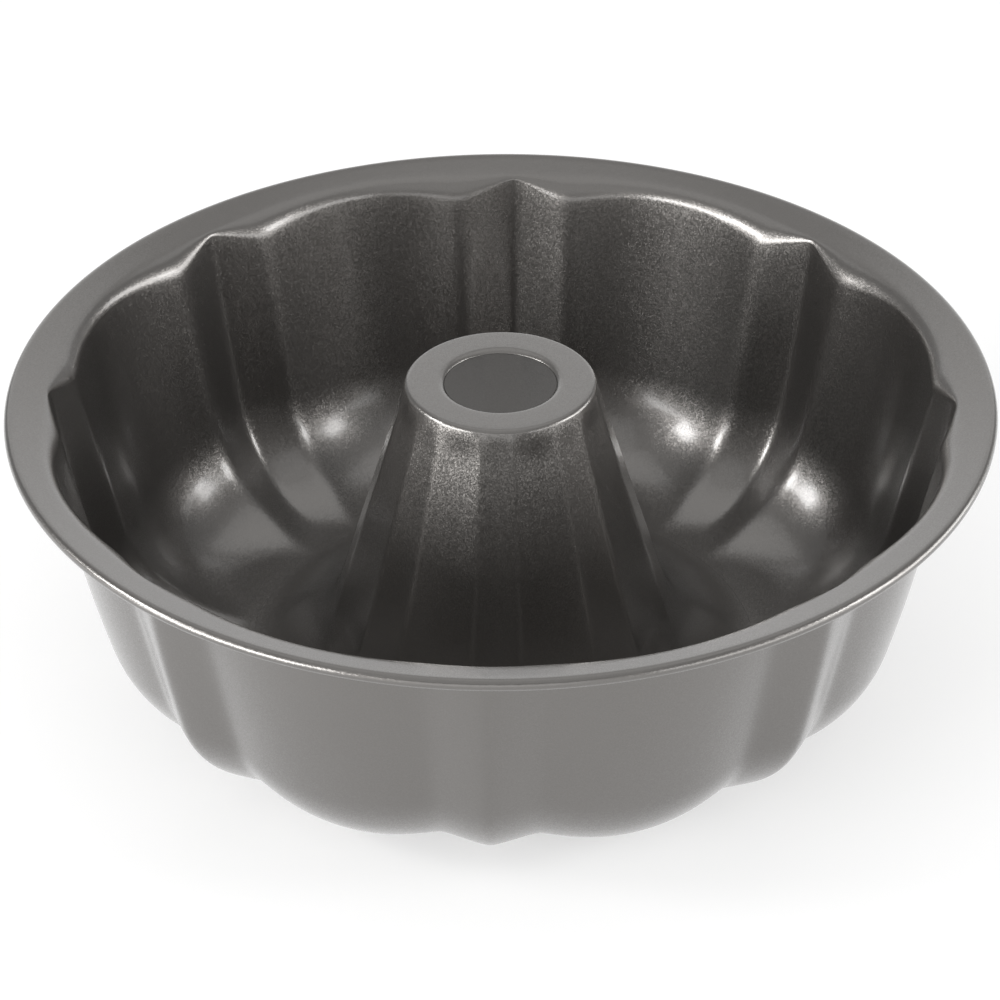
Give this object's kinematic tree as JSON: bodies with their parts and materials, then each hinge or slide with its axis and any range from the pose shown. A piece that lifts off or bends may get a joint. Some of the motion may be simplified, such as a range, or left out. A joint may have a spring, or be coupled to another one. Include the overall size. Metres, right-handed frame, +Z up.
{
  "type": "fluted tube pan",
  "caption": "Round ring-cake pan of dark coated steel: deep wall of wide lobes and narrow flutes, dished flange with rolled rim, and a tapered open centre tube.",
  "frame": {"origin": "on the pan's axis, on the plane that the pan stands on", "axes": "+Z up along the tube, out of the mouth; +X through the crest of a narrow flute"},
  "size_m": [0.2638, 0.2638, 0.0881],
  "materials": {
    "coated_steel": "dark grey non-stick coating with fine metallic flake, half gloss",
    "wire_steel": "plain drawn wire, hidden inside the rolled rim"
  },
  "bodies": {
    "root": {"fluted_bowl": "coated_steel", "centre_tube": "coated_steel", "rim_wire": "wire_steel"}
  },
  "joints": []
}
